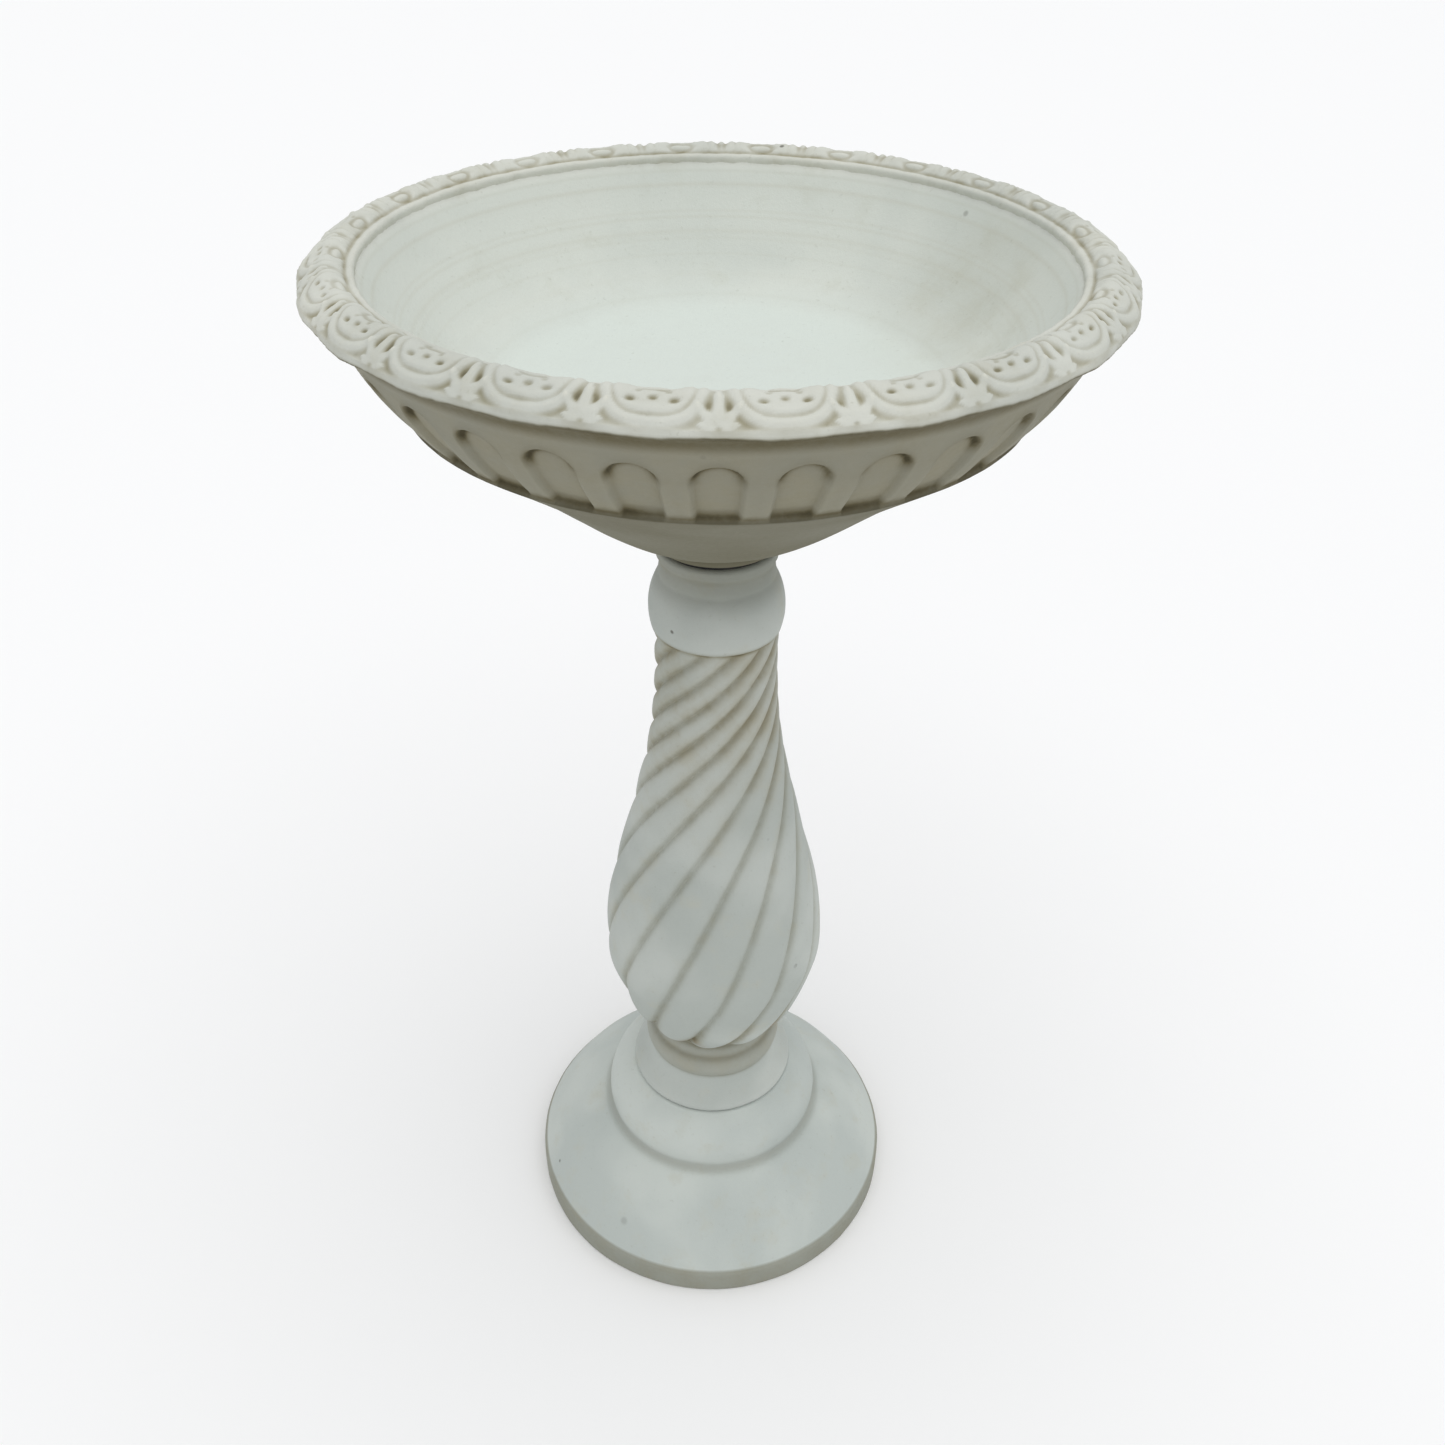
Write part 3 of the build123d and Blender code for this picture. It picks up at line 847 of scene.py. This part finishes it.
def shaft_surface(points, names, along, h):
    z = points[:, 1:]
    shaft = on(names, "shaft")
    torus = on(names, "torus", "cavetto")
    shown = 1 - on(names, "socket", "seat", "top")
    high = smooth(z, 360, 500)
    low = smooth(z, 232, 184)
    beside = off_groove(points, rib_angles)
    groove = shaft * (0.22 + 0.06 * high + 0.5 * low) * bell(beside, 3.2 - 0.4 * high + 2.5 * low)
    halo = shaft * bell(beside, 5.5 + 1.5 * high)
    foot_dirt = 0.4 * shaft * smooth(z, 192, 179)
    # painted shade in the creases between mouldings, with dirt at the spiral's foot
    lines = sum(strength * bell(z - level, width) for level, strength, width in pedestal_lines)
    return {
        "wash": np.clip(groove + foot_dirt + lines * shown, 0, 1),
        "warm": np.clip(0.3 * torus + halo * (0.1 + 0.4 * high + 0.5 * low) + 0.2 * shaft * high, 0, 1),
        # painted shade on the torus, up the neck under the bowl and faintly above the spiral
        "glaze": 0.26 * torus + 0.5 * smooth(z, *neck_shade) + 0.05 * (z > spiral_top),
        "rust": shaft * smooth(z, 206, 186) * bell(beside, 11),
        "rough_cast": shown,
    }


rib_angles = np.linspace(-1, 1, 33)
rib_angles = half_rib * np.sign(rib_angles) * np.abs(rib_angles) ** 0.8     # closer together in the grooves
pedestal_mesh = sector_mesh(
    "pedestal",
    pedestal_line,
    rib_angles,
    shaft_heights,
    shaft_surface,
    turn=shaft_turn(pedestal_line[0]),
)
casting(
    "pedestal_shaft", pedestal_mesh, rings, stone_of_pedestal, "pedestal", ["pedestal"],
    Count=rib_count, Unevenness=0.0008,
)

# base: upright edge, domed top and half-round step
dome_foot = (base_radius - 1.6, 21.6)
dome_end = (89.0, 74.2)
ring_hollow = (85.4, 76.0)
ring_foot = (84.7, 80.0)
base_repeats = 24
base_line = outline(
    ("underside", run((0, 0), (base_radius - 2, 0), 12)),
    ("edge", arc((base_radius - 2, 0), (base_radius - 0.6, 0.6), (base_radius, 2), 1.0)),
    ("edge", run((base_radius, 2), (base_radius, 19), 2.5)),
    ("edge", arc((base_radius, 19), (base_radius - 0.5, 20.6), dome_foot, 1.0)),
    ("dome", arc(dome_foot, (129.0, 42.5), dome_end, 2.5)),
    ("ring", arc(dome_end, ring_hollow, ring_foot, 0.9)),
    ("ring", arc(ring_foot, (82.5, 98.0), (64.4, seat_height - 0.3), 1.8)),
    ("seat", run((64.4, seat_height - 0.3), (63.6, seat_height), 0.5)),
    ("seat", run((63.6, seat_height), (0.0, seat_height), 9)),
)


def base_surface(points, names, along, h):
    # painted shade: the upright edge is darkened, and the hollow at the ring's foot holds a soft painted
    # shadow line
    hollow = bell(np.hypot(points[:, :1] - ring_hollow[0], points[:, 1:] - ring_hollow[1]), 4.5)
    edge = on(names, "edge")
    return {
        "wash": 0.12 * edge,
        "warm": 0.2 * edge,
        "glaze": 0.5 * edge + 0.4 * hollow,
        "rough_cast": 1 - on(names, "underside", "seat"),
    }


base_mesh = sector_mesh(
    "base",
    base_line,
    np.linspace(0, 360 / base_repeats, 31),
    lambda points, names, along, angles: np.zeros((len(points), len(angles))),
    base_surface,
)
casting(
    "base_casting", base_mesh, rings, stone_of_base, "base", ["base"],
    Count=base_repeats, Unevenness=0.0012,
)


# ---- finishes of the pieces that stay as the frame has them ---------------------------------
def plain_finish(name, base, other, every_mm, metallic, roughness, bump_mm):
    """A material with two tones of colour, patchy roughness and a fine bump."""
    material, tree = new_material(name)
    place = add(tree, "ShaderNodeTexCoord").outputs["Object"]
    noises = []
    for spacing in (every_mm, every_mm / 6):
        looks = {"Scale": 1000 / spacing, "Detail": 3.0, "Roughness": 0.55, "Distortion": 0.0}
        noises.append(add(tree, "ShaderNodeTexNoise", looks, {"Vector": place}))
    patch, fine = noises
    span = {"interpolation_type": "SMOOTHSTEP", "From Min": 0.35, "From Max": 0.65}
    share = add(tree, "ShaderNodeMapRange", span, {"Value": patch})
    tones = {"data_type": "RGBA", 6: linear(base), 7: linear(other)}
    colour = add(tree, "ShaderNodeMix", tones, {0: share}).outputs[2]
    bump = add(tree, "ShaderNodeBump", {"Strength": 0.5, "Distance": bump_mm * MM}, {"Height": fine})
    span = {"interpolation_type": "SMOOTHSTEP", "From Min": 0.3, "From Max": 0.7}
    span.update({"To Min": roughness - 0.08, "To Max": roughness + 0.08})
    rough = add(tree, "ShaderNodeMapRange", span, {"Value": fine})
    shader = add(
        tree,
        "ShaderNodeBsdfPrincipled",
        {"Metallic": metallic},
        {"Base Color": colour, "Roughness": rough, "Normal": bump},
    )
    add(tree, "ShaderNodeOutputMaterial", links={"Surface": shader})
    return material


inner_finishes = {
    # hot-rolled bar: dark mill scale with rust breaking through
    "rusted_bar": plain_finish("hot_rolled_bar", "#4a3a31", "#7a4b30", 9, 0.4, 0.75, 0.3),
    # drawn wire: dull grey zinc-free steel
    "drawn_wire": plain_finish("drawn_steel_wire", "#5f5d5a", "#6d5f52", 7, 0.8, 0.5, 0.1),
    # galvanised dowel: soft grey with a faint spangle
    "zinc": plain_finish("galvanised_dowel", "#9a9d9f", "#85898c", 6, 0.9, 0.42, 0.05),
    # setting rubber: black, matt, slightly dusty
    "rubber": plain_finish("black_setting_rubber", "#1d1d1c", "#33322f", 12, 0.0, 0.85, 0.15),
    # moulded polyethylene sleeve: waxy off-white
    "sleeve": plain_finish("moulded_polyethylene", "#d6d2c2", "#c9c4b2", 15, 0.0, 0.45, 0.03),
}
for node, finish in {
    "base_hoop": "drawn_wire",
    "rim_hoop": "drawn_wire",
    "floor_hoop": "drawn_wire",
    "bowl_bars": "drawn_wire",
    "pedestal_ties": "drawn_wire",
    "pedestal_bars": "rusted_bar",
    "base_dowel": "zinc",
    "bowl_dowel": "zinc",
    "foot_pad": "rubber",
    "seat_pad": "rubber",
    "pedestal_sleeve": "sleeve",
    "bowl_sleeve": "sleeve",
}.items():
    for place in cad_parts[node].material_slots:
        place.material = inner_finishes[finish]
